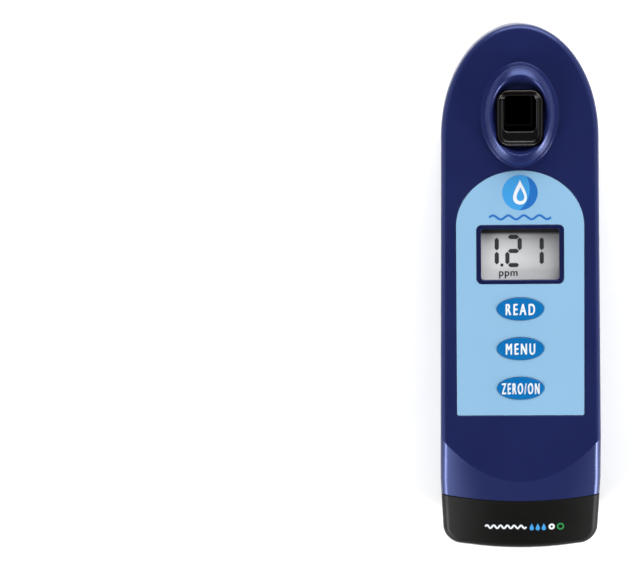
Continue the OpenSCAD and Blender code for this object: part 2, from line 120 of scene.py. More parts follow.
# heights that lie clear of both faces of a wall, for cutting through it
THROUGH_FRONT = (20, 60)
THROUGH_FILM = (30, 40)
THROUGH_ALL = (-40, 80)


# ---------- mesh helpers ----------

def new_object(name, mesh):
    """A new object in the scene."""
    obj = bpy.data.objects.new(name, mesh)
    bpy.context.scene.collection.objects.link(obj)
    return obj


def from_bmesh(name, bm):
    """An object from a bmesh in millimetres."""
    bmesh.ops.recalc_face_normals(bm, faces=bm.faces)
    bm.transform(Matrix.Scale(MM, 4))
    mesh = bpy.data.meshes.new(name)
    bm.to_mesh(mesh)
    bm.free()
    return new_object(name, mesh)


def loft(name, rings):
    """A solid skinned over rings of points that all have the same count, with closed ends."""
    bm = bmesh.new()
    rows = [[bm.verts.new(p) for p in ring] for ring in rings]
    count = len(rows[0])
    for low, high in zip(rows, rows[1:]):
        for i in range(count):
            j = (i + 1) % count
            bm.faces.new((low[i], low[j], high[j], high[i]))
    bm.faces.new(rows[0][::-1])
    bm.faces.new(rows[-1])
    return from_bmesh(name, bm)


def prism(name, points, z0, z1):
    """An upright prism over a flat outline."""
    return loft(name, [[(x, y, z) for x, y in points] for z in (z0, z1)])


def box_object(name, low, high):
    """A box between two corners."""
    x0, y0, z0 = low
    x1, y1, z1 = high
    return prism(name, [(x0, y0), (x1, y0), (x1, y1), (x0, y1)], z0, z1)


def along_y(points, y0, y1, name):
    """A prism along Y over an outline in X and Z."""
    return loft(name, [[(x, y, z) for x, z in points] for y in (y1, y0)])


def lathe(name, profile, count=64):
    """A solid turned about Z from (radius, height) pairs that start and end on the axis."""
    bm = bmesh.new()
    rows = []
    for r, z in profile:
        if r < 1e-6:
            rows.append([bm.verts.new((0, 0, z))])
        else:
            turns = [2 * math.pi * i / count for i in range(count)]
            rows.append([bm.verts.new((r * math.cos(a), r * math.sin(a), z)) for a in turns])
    for low, high in zip(rows, rows[1:]):
        for i in range(count):
            j = (i + 1) % count
            corners = [low[i % len(low)], low[j % len(low)], high[j % len(high)], high[i % len(high)]]
            unique = list(dict.fromkeys(corners))
            if len(unique) > 2:
                bm.faces.new(unique)
    return from_bmesh(name, bm)


def transform(obj, matrix):
    """Moves a mesh itself, so that the object stays at the origin."""
    obj.data.transform(matrix)
    return obj


def shifted(obj, x=0.0, y=0.0, z=0.0):
    """Moves a mesh by a distance in millimetres."""
    return transform(obj, Matrix.Translation((x * MM, y * MM, z * MM)))


def combine(obj, other, operation):
    """A boolean, applied at once. The second object is used up."""
    modifier = obj.modifiers.new("combine", "BOOLEAN")
    modifier.operation = operation
    modifier.solver = "EXACT"
    modifier.object = other
    bpy.context.view_layer.update()
    evaluated = obj.evaluated_get(bpy.context.evaluated_depsgraph_get())
    mesh = bpy.data.meshes.new_from_object(evaluated)
    obj.modifiers.clear()
    obj.data = mesh
    bpy.data.objects.remove(other)
    return obj


def cut(obj, other):
    """Takes the second solid away from the first."""
    return combine(obj, other, "DIFFERENCE")


def join_solid(obj, other):
    """Adds the second solid to the first."""
    return combine(obj, other, "UNION")


def keep(obj, other):
    """Keeps what the first solid shares with the second."""
    return combine(obj, other, "INTERSECT")


def soften(obj, width, segments, pick, angle=35.0):
    """Rounds the sharp edges whose middle, in millimetres, pick(x, y, z) accepts."""
    bm = bmesh.new()
    bm.from_mesh(obj.data)
    bmesh.ops.remove_doubles(bm, verts=bm.verts, dist=0.002 * MM)
    bmesh.ops.dissolve_degenerate(bm, edges=bm.edges, dist=0.002 * MM)
    limit = math.radians(angle)
    chosen = []
    for edge in bm.edges:
        if len(edge.link_faces) != 2 or edge.calc_face_angle(0.0) < limit:
            continue
        if pick(*((edge.verts[0].co + edge.verts[1].co) / 2 / MM)):
            chosen.append(edge)
    if chosen:
        bmesh.ops.bevel(bm, geom=chosen, offset=width * MM, offset_type="OFFSET", segments=segments,
                        profile=0.5, affect="EDGES", clamp_overlap=False)
    bm.to_mesh(obj.data)
    bm.free()
    return obj


def smooth(obj, angle=14.0):
    """Smooth shading that keeps the sharp edges, with flat faces kept flat."""
    mesh = obj.data
    mesh.polygons.foreach_set("use_smooth", [True] * len(mesh.polygons))
    bm = bmesh.new()
    bm.from_mesh(mesh)
    limit = math.radians(angle)
    for edge in bm.edges:
        edge.smooth = len(edge.link_faces) == 2 and edge.calc_face_angle(0.0) < limit
    bm.to_mesh(mesh)
    bm.free()
    modifier = obj.modifiers.new("flat_faces", "WEIGHTED_NORMAL")
    modifier.mode = "FACE_AREA_WITH_ANGLE"
    modifier.weight = 60
    modifier.keep_sharp = True
    return obj


def finish_piece(obj, body, material, slot, *stands_for):
    """Gives a piece its material and its body, and hides the CAD nodes that it replaces. The slot is not
    used.
    """
    obj.data.materials.clear()
    obj.data.materials.append(material)
    if obj.type == "MESH":
        for polygon in obj.data.polygons:
            polygon.material_index = 0
    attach(obj, body)
    if stands_for:
        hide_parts(*stands_for)
    return obj


# ---------- outlines ----------

def arc(cx, cy, rx, ry, start, end, steps):
    """Points on an arc, angles in degrees."""
    turns = [math.radians(start + (end - start) * i / steps) for i in range(steps + 1)]
    return [(cx + rx * math.cos(t), cy + ry * math.sin(t)) for t in turns]


def case_outline(inset=0.0):
    """The case seen from the front, counter-clockwise from the arch's right end."""
    r = max(CORNER - inset, 1.4)
    cx = LOW_HALF - 0.7 - inset - r
    cy = -LENGTH / 2 + END_BULGE + inset + r
    points = arc(0, ARCH_Y, HEAD_HALF - inset, ARCH - inset, 0, 180, 96)
    points += [(-(LOW_HALF - inset), WIDEST_Y)]
    points += arc(-cx, cy, r, r, 180, 270, 12)
    points += [(x, -LENGTH / 2 + inset + END_BULGE * (x / 18) ** 2) for x in range(-15, 16, 3)]
    points += arc(cx, cy, r, r, 270, 360, 12)
    points += [(LOW_HALF - inset, WIDEST_Y)]
    return points


def rounded_rect(width, length, r, steps=8, cy=0.0, cx=0.0):
    """A rectangle with rounded corners, counter-clockwise."""
    points = []
    for sx, sy, start in ((1, -1, 270), (1, 1, 0), (-1, 1, 90), (-1, -1, 180)):
        corner = (cx + sx * (width / 2 - r), cy + sy * (length / 2 - r))
        points += arc(*corner, r, r, start, start + 90, steps)
    return points


def oval(a, b, count=128, cx=0.0, cy=0.0):
    """An ellipse with half axes a and b, counter-clockwise."""
    turns = [2 * math.pi * i / count for i in range(count)]
    return [(cx + a * math.cos(t), cy + b * math.sin(t)) for t in turns]


def overlay_outline(grow=0.0):
    """The arched keypad film, counter-clockwise."""
    half = OVERLAY_HIGH.x + grow
    low = OVERLAY_LOW.y - grow
    arch = 17.5
    start = OVERLAY_HIGH.y - arch
    r = 0.6
    points = arc(half - r, low + r, r, r, 270, 360, 5)
    points += arc(0, start, half, arch + grow, 0, 180, 80)
    points += arc(-half + r, low + r, r, r, 180, 270, 5)
    return points


def slope_height(x, y):
    """Height of the sloping lower front, carried on past its crease."""
    sag = (BARREL_R - math.sqrt(BARREL_R ** 2 - x * x)) / math.cos(SLOPE)
    return FRONT_Z + math.tan(SLOPE) * (y - CREASE_Y) - sag


def front_height(x, y):
    """Height of the case's outer front, without the collar."""
    return min(FRONT_Z, slope_height(x, y))


def under_front(depth=0.0):
    """Everything below the sloping lower front, less a depth."""
    r = BARREL_R - depth
    barrel = along_y(oval(r, r, 720), -150, 250, "barrel")
    place = (Matrix.Translation((0, CREASE_Y * MM, FRONT_Z * MM))
             @ Matrix.Rotation(SLOPE, 4, "X")
             @ Matrix.Translation((0, 0, -BARREL_R * MM)))
    return transform(barrel, place)


# ---------- materials ----------

class Nodes:
    """A short way to write a material's node tree."""

    def __init__(self, name):
        self.material = bpy.data.materials.new(name)
        self.material.use_nodes = True
        self.tree = self.material.node_tree
        self.shader = self.tree.nodes["Principled BSDF"]
        coordinates = self.add("ShaderNodeTexCoord")
        self.place = coordinates.outputs["Object"]

    def add(self, kind, **values):
        """A new node with the given settings."""
        node = self.tree.nodes.new(kind)
        for key, value in values.items():
            setattr(node, key, value)
        return node

    def link(self, source, target):
        self.tree.links.new(source, target)

    def noise(self, scale, detail=3.0, rough=0.5, stretch=None):
        """Noise in the object's own space, in features per metre."""
        node = self.add("ShaderNodeTexNoise")
        node.inputs["Scale"].default_value = scale
        node.inputs["Detail"].default_value = detail
        node.inputs["Roughness"].default_value = rough
        if stretch:
            mapping = self.add("ShaderNodeMapping")
            mapping.inputs["Scale"].default_value = stretch
            self.link(self.place, mapping.inputs["Vector"])
            self.link(mapping.outputs["Vector"], node.inputs["Vector"])
        else:
            self.link(self.place, node.inputs["Vector"])
        return node.outputs["Fac"]

    def remap(self, source, low, high, from_low=0.3, from_high=0.7):
        """Turns a range of values into another."""
        node = self.add("ShaderNodeMapRange")
        limits = {"From Min": from_low, "From Max": from_high, "To Min": low, "To Max": high}
        for name, value in limits.items():
            node.inputs[name].default_value = value
        self.link(source, node.inputs["Value"])
        return node.outputs["Result"]

    def colours(self, source, stops):
        """A colour ramp over two or more stops, each a position and a colour."""
        ramp = self.add("ShaderNodeValToRGB")
        elements = ramp.color_ramp.elements
        for element, (position, colour) in zip(elements, (stops[0], stops[-1])):
            element.position = position
            element.color = (*colour, 1)
        for position, colour in stops[1:-1]:
            elements.new(position).color = (*colour, 1)
        self.link(source, ramp.inputs["Fac"])
        return ramp.outputs["Color"]

    def bump(self, source, strength, distance, after=None):
        """A bumped normal, on top of another if one is given. The distance is in metres."""
        node = self.add("ShaderNodeBump")
        node.inputs["Strength"].default_value = strength
        node.inputs["Distance"].default_value = distance
        self.link(source, node.inputs["Height"])
        if after:
            self.link(after, node.inputs["Normal"])
        return node.outputs["Normal"]

    def set(self, **values):
        """Fixed values for the shader's inputs."""
        for key, value in values.items():
            self.shader.inputs[key.replace("_", " ")].default_value = value

    def feed(self, name, output):
        """Links an output to one of the shader's inputs."""
        self.link(output, self.shader.inputs[name])


def tint(colour, factor):
    """A lighter or darker colour."""
    return tuple(min(1.0, c * factor) for c in colour)


def plastic(name, colour, rough, grain=4200.0, grain_depth=0.0000012, spread=0.035, vary=0.05,
            coat=0.0, specular=0.5, sheen_tint=(1.0, 1.0, 1.0)):
    """Moulded plastic: slow colour drift, handled sheen, and a fine spark-eroded grain."""
    nodes = Nodes(name)
    drift = nodes.noise(38.0, 4.0, 0.6)
    stops = [(0.3, tint(colour, 1 - vary)), (0.7, tint(colour, 1 + vary))]
    nodes.feed("Base Color", nodes.colours(drift, stops))
    nodes.feed("Roughness", nodes.remap(nodes.noise(70.0, 3.0, 0.5), rough - spread, rough + spread))
    wide = nodes.bump(nodes.noise(60.0, 1.0), 0.08, 0.00004)
    nodes.feed("Normal", nodes.bump(nodes.noise(grain, 2.0, 0.6), 0.5, grain_depth, wide))
    nodes.set(Coat_Weight=coat, Coat_Roughness=0.12, Specular_IOR_Level=specular,
              Specular_Tint=(*sheen_tint, 1))
    return nodes.material


def metal(name, colour, rough, scale=2600.0, stretch=(1.0, 1.0, 1.0)):
    """Turned or brushed metal with fine directional marks."""
    nodes = Nodes(name)
    marks = nodes.noise(scale, 4.0, 0.7, stretch)
    nodes.feed("Base Color", nodes.colours(marks, [(0.3, tint(colour, 0.86)), (0.7, tint(colour, 1.06))]))
    nodes.feed("Roughness", nodes.remap(marks, rough - 0.07, rough + 0.09))
    nodes.feed("Normal", nodes.bump(marks, 0.35, 0.000006))
    nodes.set(Metallic=1.0)
    return nodes.material


def print_ink(name, colour, rough=0.45):
    """Screen-printed ink: slightly uneven edge and cover."""
    nodes = Nodes(name)
    cover = nodes.noise(2400.0, 3.0, 0.6)
    nodes.feed("Base Color", nodes.colours(cover, [(0.25, tint(colour, 0.93)), (0.75, tint(colour, 1.03))]))
    nodes.feed("Roughness", nodes.remap(cover, rough - 0.05, rough + 0.05))
    nodes.feed("Normal", nodes.bump(cover, 0.25, 0.000004))
    nodes.set(Specular_IOR_Level=0.4)
    return nodes.material


def board_material(name, colour):
    """Solder mask over copper tracks."""
    nodes = Nodes(name)
    tracks = nodes.add("ShaderNodeTexBrick")
    tracks.inputs["Scale"].default_value = 320.0
    tracks.inputs["Mortar Size"].default_value = 0.06
    tracks.inputs["Color1"].default_value = (*colour, 1)
    tracks.inputs["Color2"].default_value = (*tint(colour, 0.8), 1)
    tracks.inputs["Mortar"].default_value = (*tint(colour, 1.9), 1)
    nodes.link(nodes.place, tracks.inputs["Vector"])
    nodes.feed("Base Color", tracks.outputs["Color"])
    nodes.feed("Roughness", nodes.remap(nodes.noise(400.0), 0.29, 0.40))
    nodes.feed("Normal", nodes.bump(tracks.outputs["Fac"], 0.3, 0.00003))
    return nodes.material


def window_material():
    """Clear hard-coated window. Its low alpha lets light through to the display."""
    nodes = Nodes("window_clear")
    haze = nodes.noise(160.0, 4.0, 0.6)
    nodes.feed("Base Color", nodes.colours(haze, [(0.2, (0.05, 0.052, 0.055)), (0.8, (0.09, 0.095, 0.10))]))
    nodes.feed("Roughness", nodes.remap(haze, 0.04, 0.10))
    nodes.feed("Normal", nodes.bump(haze, 0.03, 0.00001))
    nodes.set(Alpha=0.08, Specular_IOR_Level=0.6)
    return nodes.material


def lcd_material():
    """Reflective display glass: pale warm grey with a fine cell pattern. Painted shade darkens it towards
    the top and the right, and a painted shadow band runs along its top edge, where the bezel shades it.
    """
    nodes = Nodes("lcd_glass")
    split = nodes.add("ShaderNodeSeparateXYZ")
    nodes.link(nodes.place, split.inputs["Vector"])
    middle, top = DISPLAY_Y * MM, (DISPLAY_Y + 8) * MM
    # Painted shadow of the bezel's top edge: fully dark within the top 1.3 mm of the face, fading in over
    # the next 1 mm.
    edge = nodes.remap(split.outputs["Y"], 1.0, 0.0, top - 0.0023, top - 0.0013)
    # Painted shade: the face is darker towards the top and the right and lightest at the lower left. Random
    # tone from noise is added to it below.
    painted_shade_slope = nodes.add("ShaderNodeMath", operation="ADD")
    nodes.link(nodes.remap(split.outputs["Y"], 0.5, 0.0, middle - 0.008, middle + 0.006), painted_shade_slope.inputs[0])
    nodes.link(nodes.remap(split.outputs["X"], 0.5, 0.0, -0.012, 0.012), painted_shade_slope.inputs[1])
    tone_and_painted_shade = nodes.add("ShaderNodeMath", operation="MULTIPLY_ADD")
    nodes.link(nodes.noise(55.0, 3.0, 0.5), tone_and_painted_shade.inputs[0])
    tone_and_painted_shade.inputs[1].default_value = 0.12
    nodes.link(painted_shade_slope.outputs[0], tone_and_painted_shade.inputs[2])
    face = nodes.colours(tone_and_painted_shade.outputs[0], [(0.05, (0.27, 0.273, 0.28)), (1.0, (0.92, 0.925, 0.935))])
    shade = nodes.add("ShaderNodeMix", data_type="RGBA")
    nodes.link(edge, shade.inputs["Factor"])
    # The painted shadow's dark colour.
    shade.inputs[6].default_value = (0.007, 0.006, 0.006, 1)
    nodes.link(face, shade.inputs[7])
    nodes.feed("Base Color", shade.outputs[2])
    nodes.feed("Roughness", nodes.remap(nodes.noise(700.0), 0.28, 0.36))
    nodes.feed("Normal", nodes.bump(nodes.noise(5200.0, 2.0), 0.2, 0.000003))
    nodes.set(Specular_IOR_Level=0.35)
    return nodes.material


def battery_material(name, points_up):
    """A plain printed sleeve: dark, with a copper part at the raised end."""
    nodes = Nodes(name)
    split = nodes.add("ShaderNodeSeparateXYZ")
    nodes.link(nodes.place, split.inputs["Vector"])
    low, high = node_box("cell_1")
    ends = (0.0, 1.0) if points_up else (1.0, 0.0)
    along = nodes.remap(split.outputs["Y"], *ends, low.y * MM, high.y * MM)
    stops = [(0.0, (0.02, 0.02, 0.022)), (0.66, (0.02, 0.02, 0.022)), (0.68, (0.55, 0.28, 0.07)),
             (1.0, (0.60, 0.32, 0.09))]
    nodes.feed("Base Color", nodes.colours(along, stops))
    nodes.feed("Roughness", nodes.remap(nodes.noise(500.0), 0.29, 0.38))
    nodes.feed("Normal", nodes.bump(nodes.noise(1200.0), 0.15, 0.00001))
    nodes.set(Metallic=0.35, Coat_Weight=0.5, Coat_Roughness=0.1)
    return nodes.material


NAVY = (0.0068, 0.0100, 0.0540)
SKY = (0.181, 0.338, 0.495)
KEY_BLUE = (0.0006, 0.106, 0.307)
BLUE_SHEEN = (0.34, 0.44, 1.0)

CASE = plastic("case_navy", NAVY, 0.32, specular=0.6, sheen_tint=BLUE_SHEEN)
FRAME_NAVY = plastic("bezel_navy", tint(NAVY, 0.7), 0.34, specular=0.35, sheen_tint=BLUE_SHEEN)
CAP = plastic("cap_black", (0.0022, 0.0020, 0.0017), 0.44, grain=3000.0, grain_depth=0.0000025,
              specular=0.11)
CUP = plastic("cell_black", (0.0030, 0.0022, 0.0019), 0.23, grain=900.0, grain_depth=0.000001,
              spread=0.03, specular=0.4)
# Painted shade: a matte, barely glossy black for a sheet on the well's floor, which keeps the deep well
# dark.
WELL_SHADE_SHEET = plastic("well_floor_painted_shade", (0.0030, 0.0030, 0.0032), 0.8, specular=0.05)
OVERLAY = plastic("overlay_film", SKY, 0.46, grain=6000.0, grain_depth=0.0000008, vary=0.015)
KEY = plastic("key_blue", KEY_BLUE, 0.44, grain=6000.0, grain_depth=0.0000008, vary=0.03,
              specular=0.3, sheen_tint=(0.4, 0.7, 1.0))
DARK = plastic("moulded_dark", (0.020, 0.020, 0.022), 0.50)
OPTICS = plastic("optics_black", (0.010, 0.010, 0.011), 0.62)
CREAM = plastic("plug_cream", (0.62, 0.58, 0.45), 0.42)
SPACER = plastic("spacer_film", (0.60, 0.60, 0.56), 0.5)
LABEL = plastic("label_film", (0.46, 0.48, 0.50), 0.38)
RUBBER = plastic("seal_rubber", (0.014, 0.014, 0.015), 0.72, grain=1800.0, grain_depth=0.000004)
RED_RUBBER = plastic("cap_seal_silicone", (0.30, 0.015, 0.012), 0.55, grain=1800.0)
ZEBRA = plastic("contact_strip_rubber", (0.20, 0.07, 0.09), 0.6)
FLEX = plastic("flex_film", (0.42, 0.20, 0.035), 0.35, grain=900.0)
LAMP = plastic("lamp_lens", (0.62, 0.66, 0.70), 0.12, spread=0.03, coat=0.6)
FILTER = plastic("filter_glass", (0.012, 0.16, 0.10), 0.10, spread=0.03, coat=0.6)
BOARD = board_material("board_green", (0.008, 0.085, 0.030))
CHIP = plastic("chip_black", (0.016, 0.016, 0.017), 0.48, grain=3000.0, grain_depth=0.0000025)
STEEL = metal("screw_steel", (0.52, 0.53, 0.55), 0.36)
BRIGHT = metal("spring_wire", (0.60, 0.60, 0.61), 0.36, 3600.0, (1, 0.2, 1))
NICKEL = metal("contact_nickel", (0.60, 0.57, 0.50), 0.36)
BRASS = metal("insert_brass", (0.66, 0.45, 0.17), 0.37)
CAN = metal("sensor_can", (0.58, 0.56, 0.48), 0.36)
WINDOW = window_material()
GLASS = lcd_material()
SLEEVE_UP = battery_material("battery_sleeve_up", True)
SLEEVE_DOWN = battery_material("battery_sleeve_down", False)
INK_WHITE = print_ink("ink_white", (0.58, 0.61, 0.63))
INK_DARK = print_ink("ink_display", (0.016, 0.017, 0.019), 0.5)
INK_BLUE = print_ink("ink_blue", (0.006, 0.105, 0.36))
INK_SKY = print_ink("ink_light_blue", (0.030, 0.235, 0.52))
INK_GREEN = print_ink("ink_green", (0.008, 0.20, 0.045))


# ---------- case ----------

def back_rings(inset=0.0, radius=BACK_ROUND, steps=14):
    """Rings of the rear form, from the flat back up round its edge."""
    rings = []
    for i in range(steps + 1):
        angle = math.radians(90 - 90 * i / steps)
        inward = inset + radius * (1 - math.cos(angle))
        z = inset + radius * (1 - math.sin(angle))
        rings.append([(x, y, z) for x, y in case_outline(inward)])
    return rings


def front_rings(height):
    """Rings round the front's edge, under the surface height(x, y)."""
    rings = []
    steps = 8
    for i in range(steps + 1):
        angle = math.radians(90 * i / steps)
        inward = FRONT_ROUND * (1 - math.cos(angle))
        drop = FRONT_ROUND * (1 - math.sin(angle))
        rings.append([(x, y, height(x, y) - drop) for x, y in case_outline(inward)])
    return rings


def outer_form():
    """The whole outside of case and cap as one solid, with every edge rounded."""
    form = loft("outer", back_rings() + front_rings(lambda x, y: FRONT_Z))
    sloped = front_rings(slope_height)
    floor = [(x, y, -20.0) for x, y in case_outline()]
    roof = [(x, y, z + 30.0) for x, y, z in sloped[-1]]
    keep(form, loft("sloped", [floor] + sloped + [roof]))
    return keep(form, under_front())


def slice_of(form, name, low_z, high_z):
    """The part of a form between two heights, as a new object."""
    part = form.copy()
    part.data = form.data.copy()
    part.name = name
    bpy.context.scene.collection.objects.link(part)
    half_x, half_y = 40, 100
    return keep(part, box_object("limit", (-half_x, -half_y, low_z), (half_x, half_y, high_z)))


def case_side(gap=0.0):
    """Everything on the case's side of the curved joint with the cap."""
    radius = SEAM_R - gap
    return prism("case_side", oval(radius, radius, 1440, 0, SEAM_Y + SEAM_R), *THROUGH_ALL)


def seam_place(x, gap=0.0):
    """Place of the curved joint across the case."""
    radius = SEAM_R - gap
    return SEAM_Y + SEAM_R - math.sqrt(radius ** 2 - x * x)


def near_seam(x, y, gap=0.0):
    """Whether a place lies on the curved joint."""
    return abs(y - seam_place(x, gap)) < 0.02


def collar_form():
    """The raised oval round the cell: a soft foot, a leaning side and a rounded crest.

    Each row is a height over the front, with the oval's half width and half length there.
    """
    profile = [(-0.8, 12.2, 16.5), (0.015, 12.05, 16.35), (0.10, 11.8, 16.15), (0.35, 11.62, 15.97),
               (0.9, 11.43, 15.76), (1.55, 11.25, 15.55), (2.15, 11.05, 15.3), (2.6, 10.8, 14.95),
               (3.0, 10.52, 14.55), (3.35, 10.25, 14.15), (3.68, 10.0, 13.75), (3.98, 9.78, 13.35),
               (4.22, 9.58, 13.0), (4.39, 9.38, 12.7), (4.48, 9.22, 12.48), (4.5, 9.1, 12.33)]
    return loft("collar", [[(x, y + COLLAR_Y, FRONT_Z + h) for x, y in oval(a, b)]
                           for h, a, b in profile])


def bowl_form():
    """The inside of the collar, from above its crest down to the trough round the cell.

    Its rows read as the collar's do.
    """
    profile = [(6.0, 9.65, 12.88), (4.55, 9.14, 12.36), (4.42, 8.98, 12.15), (4.15, 8.75, 11.9),
               (3.7, 8.55, 11.65), (3.1, 8.35, 11.35), (2.6, 8.15, 11.0), (2.2, 7.95, 10.6),
               (1.92, 7.75, 10.1), (1.8, 7.5, 9.6)]
    return loft("bowl", [[(x, y + COLLAR_Y, FRONT_Z + h) for x, y in oval(a, b)]
                         for h, a, b in reversed(profile)])


def make_front(form):
    """The front half: shell, screw bosses, collar, cell opening, keypad recess and window."""
    front = keep(slice_of(form, "case_front", PARTING_Z, 60), case_side())
    soften(front, SEAM_EDGE, 3, lambda x, y, z: z < PARTING_Z + 0.02 or near_seam(x, y), 50)
    inside = keep(prism("inside", case_outline(WALL), PARTING_Z - 4, FRONT_Z - WALL), under_front(WALL))
    for x, y in CASE_SCREWS:
        cut(inside, prism("boss", oval(2.9, 2.9, 32, x, y), 0, 60))
    join_solid(front, collar_form())
    cut(front, inside)
    for x, y in CASE_SCREWS:
        cut(front, prism("pilot", oval(1.4, 1.4, 24, x, y), PARTING_Z - 3, PARTING_Z + 8))
    cut(front, bowl_form())
    cell_hole = rounded_rect(RIM[0] + 0.4, RIM[1] + 0.3, 3.4, 8, RIM_Y)
    cut(front, prism("cell_hole", cell_hole, *THROUGH_FRONT))
    cut(front, prism("keypad_recess", overlay_outline(0.15), RECESS_Z, THROUGH_FRONT[1]))
    window_hole = rounded_rect(DISPLAY[0] + 1.9, DISPLAY[1] + 1.6, 1, 6, DISPLAY_Y)
    cut(front, prism("window_hole", window_hole, *THROUGH_FRONT))

    def round_recess(x, y, z):
        beside = abs(x) < OVERLAY_HIGH.x + 0.3 and OVERLAY_LOW.y - 0.4 < y < OVERLAY_HIGH.y + 0.4
        return beside and abs(z - FRONT_Z) < 0.01

    soften(front, 0.16, 3, round_recess, 60)
    smooth(front)
    return finish_piece(front, "body", CASE, "case", "front_housing")


def make_back(form):
    """The rear half: shell, bosses with counterbores, and the label's recess."""
    back = keep(slice_of(form, "case_back", -20, PARTING_Z), case_side())
    soften(back, SEAM_EDGE, 3, lambda x, y, z: z > PARTING_Z - 0.02 or near_seam(x, y), 50)
    lining = back_rings(WALL, BACK_ROUND - WALL, 8)
    lining.append([(x, y, PARTING_Z + 4) for x, y in case_outline(WALL)])
    inside = loft("inside", lining)
    for x, y in CASE_SCREWS:
        cut(inside, prism("boss", oval(3.8, 3.8, 40, x, y), -2, 60))
    cut(back, inside)
    for x, y in CASE_SCREWS:
        cut(back, prism("counterbore", oval(SCREW_BORE_R, SCREW_BORE_R, 48, x, y), -2, 5.5))
        cut(back, prism("clearance", oval(1.5, 1.5, 24, x, y), 2, 60))
    recess = rounded_rect(30.4, 40.4, 2.2, 8, middle_y("rear_label"))
    cut(back, prism("label_recess", recess, -3, 0.3))
    soften(back, SEAM_EDGE, 3, lambda x, y, z: z < 1.0 and y > SEAM_Y + 1, 60)
    smooth(back)
    return finish_piece(back, "body", CASE, "case", "rear_housing")


def make_cap(form):
    """The black end cap with its stepped bores and the pockets for its two screws."""
    cap = slice_of(form, "cap_shell", -20, 60)
    cut(cap, case_side(-SEAM_GAP))
    soften(cap, SEAM_EDGE, 3, lambda x, y, z: near_seam(x, y, -SEAM_GAP), 50)
    for half_x, half_z, middle, radius, depth in CAP_BORES:
        outline = rounded_rect(2 * half_x, 2 * half_z, radius, 8, middle)
        cut(cap, along_y(outline, SEAM_Y - depth, SEAM_Y + 3, "bore"))
    for side in (-1, 1):
        x, z = side * CAP_SCREW[0], CAP_SCREW[1]
        cut(cap, along_y(oval(1.56, 1.56, 32, x, z), -90, SEAM_Y + 3, "screw_hole"))
        cut(cap, along_y(oval(SCREW_BORE_R, SCREW_BORE_R, 48, x, z), -95, -78, "screw_pocket"))
    soften(cap, 0.25, 3, lambda x, y, z: y < -79 and 10 < z < 20 and 15 < abs(x) < 23, 50)
    smooth(cap)
    return finish_piece(cap, "battery_cap", CAP, "cap", "battery_cap")


# ---------- sample cell ----------

def make_cup():
    """The built-in cell: a flange under the case, a rounded rim, a shallow mouth and the well."""
    width, length = RIM
    top = CELL_HIGH.z
    rim_r = 0.85
    rings = []

    def ring(ring_width, ring_length, radius, z, cy=RIM_Y):
        rings.append([(x, y, z) for x, y in rounded_rect(ring_width, ring_length, radius, 8, cy)])

    ring(WELL[0] + 3.2, WELL[1] + 3.2, 2.6, CELL_LOW.z, WELL_Y)
    ring(WELL[0] + 3.2, WELL[1] + 3.2, 2.6, FLANGE_SPAN[0], WELL_Y)
    ring(*FLANGE, 5, FLANGE_SPAN[0])
    ring(*FLANGE, 5, FLANGE_SPAN[1])
    ring(width, length, 3.7, FLANGE_SPAN[1])
    for i in range(17):
        angle = math.radians(180 * i / 16)
        d = rim_r * (1 - math.cos(angle))
        z = top - rim_r * 0.75 + rim_r * 0.75 * math.sin(angle)
        ring(width - d, length - d, 3.7 - d / 2, z)
    ring(width - 2.2, length - 2.4, 2.6, top - 1.6)
    ring(width - 2.5, length - 2.7, 2.45, top - 2.25)
    ring(width - 2.9, length - 3.1, 2.3, top - 2.42)
    ring(width - 3.5, length - 3.6, 2.1, top - 2.48)
    ring(WELL[0] + 0.9, WELL[1] + 0.9, 1.9, top - 2.5, WELL_Y - 0.1)
    ring(WELL[0] + 0.4, WELL[1] + 0.4, 1.7, top - 2.58, WELL_Y)
    ring(WELL[0] + 0.1, WELL[1] + 0.1, 1.55, top - 2.75, WELL_Y)
    ring(*WELL, 1.5, top - 3.1, WELL_Y)
    ring(*WELL, 1.5, WELL_FLOOR + 0.8, WELL_Y)
    ring(WELL[0] - 0.5, WELL[1] - 0.5, 1.3, WELL_FLOOR + 0.2, WELL_Y)
    ring(WELL[0] - 1.6, WELL[1] - 1.6, 1.0, WELL_FLOOR, WELL_Y)
    cup = smooth(loft("sample_cup", rings), 40)
    finish_piece(cup, "body", CUP, "cell_black", "sample_cell")
    # A matte black sheet on the well's floor: painted shade that keeps the deep well dark.
    outline = rounded_rect(WELL[0] - 1.8, WELL[1] - 1.8, 1.0, 6, WELL_Y)
    floor = prism("well_floor", outline, WELL_FLOOR - 0.02, WELL_FLOOR + 0.06)
    finish_piece(floor, "body", WELL_SHADE_SHEET, "cell_black")


# ---------- keypad and display ----------

KEYS = {"read_key": "READ", "menu_key": "MENU", "zero_key": "ZERO/ON"}
DOMES = {"read_dome": "read_press", "menu_dome": "menu_press", "zero_dome": "zero_press"}
KEY_GAP = 0.08
DOME_METAL = 0.12
DOME_CURVE = 3.3  # how square the dome's shoulder is: 2 is a plain arch
LEGEND_WIDTHS = {"read_key": 9.2, "menu_key": 9.2, "zero_key": 11.9}
LEGEND_HEIGHT = 3.6
BADGE_Y = 30.9
BADGE_R = 5.5
WAVE_Y = 23.2


def make_overlay():
    """The printed keypad film, with openings for the keys and the display."""
    film = prism("overlay_film", overlay_outline(), OVERLAY_LOW.z, OVERLAY_HIGH.z)
    for node in KEYS:
        hole = oval(KEY_HALF[0] + KEY_GAP, KEY_HALF[1] + KEY_GAP, 128, 0, middle_y(node))
        cut(film, prism("key_hole", hole, *THROUGH_FILM))
    frame_hole = rounded_rect(DISPLAY[0] + 3.0, DISPLAY[1] + 2.6, 1.7, 8, DISPLAY_Y)
    cut(film, prism("display_hole", frame_hole, *THROUGH_FILM))
    soften(film, 0.09, 2, lambda x, y, z: z > OVERLAY_HIGH.z - 0.01, 60)
    smooth(film)
    return finish_piece(film, "body", OVERLAY, "overlay", "keypad_overlay")


